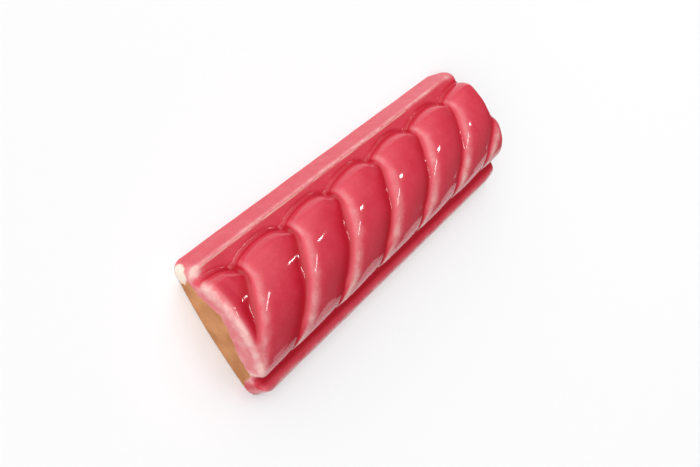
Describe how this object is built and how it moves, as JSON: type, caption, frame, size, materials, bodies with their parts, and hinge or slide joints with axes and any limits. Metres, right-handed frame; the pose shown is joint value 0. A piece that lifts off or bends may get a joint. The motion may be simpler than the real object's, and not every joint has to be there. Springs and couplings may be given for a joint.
{
  "type": "rope moulding tile",
  "caption": "Long narrow glazed clay trim tile with a raised twisted rope along its middle, a plain band on each side and a flat bare back for bedding on a wall.",
  "frame": {"origin": "middle of the flat back", "axes": "+X along the rope, +Y across the tile, +Z out of the wall from the flat back to the rope's crown"},
  "size_m": [0.15, 0.052, 0.0208],
  "materials": {
    "pink_glazed_clay": "gloss"
  },
  "bodies": {
    "root": {"rope_moulding_tile": "pink_glazed_clay"}
  },
  "joints": []
}
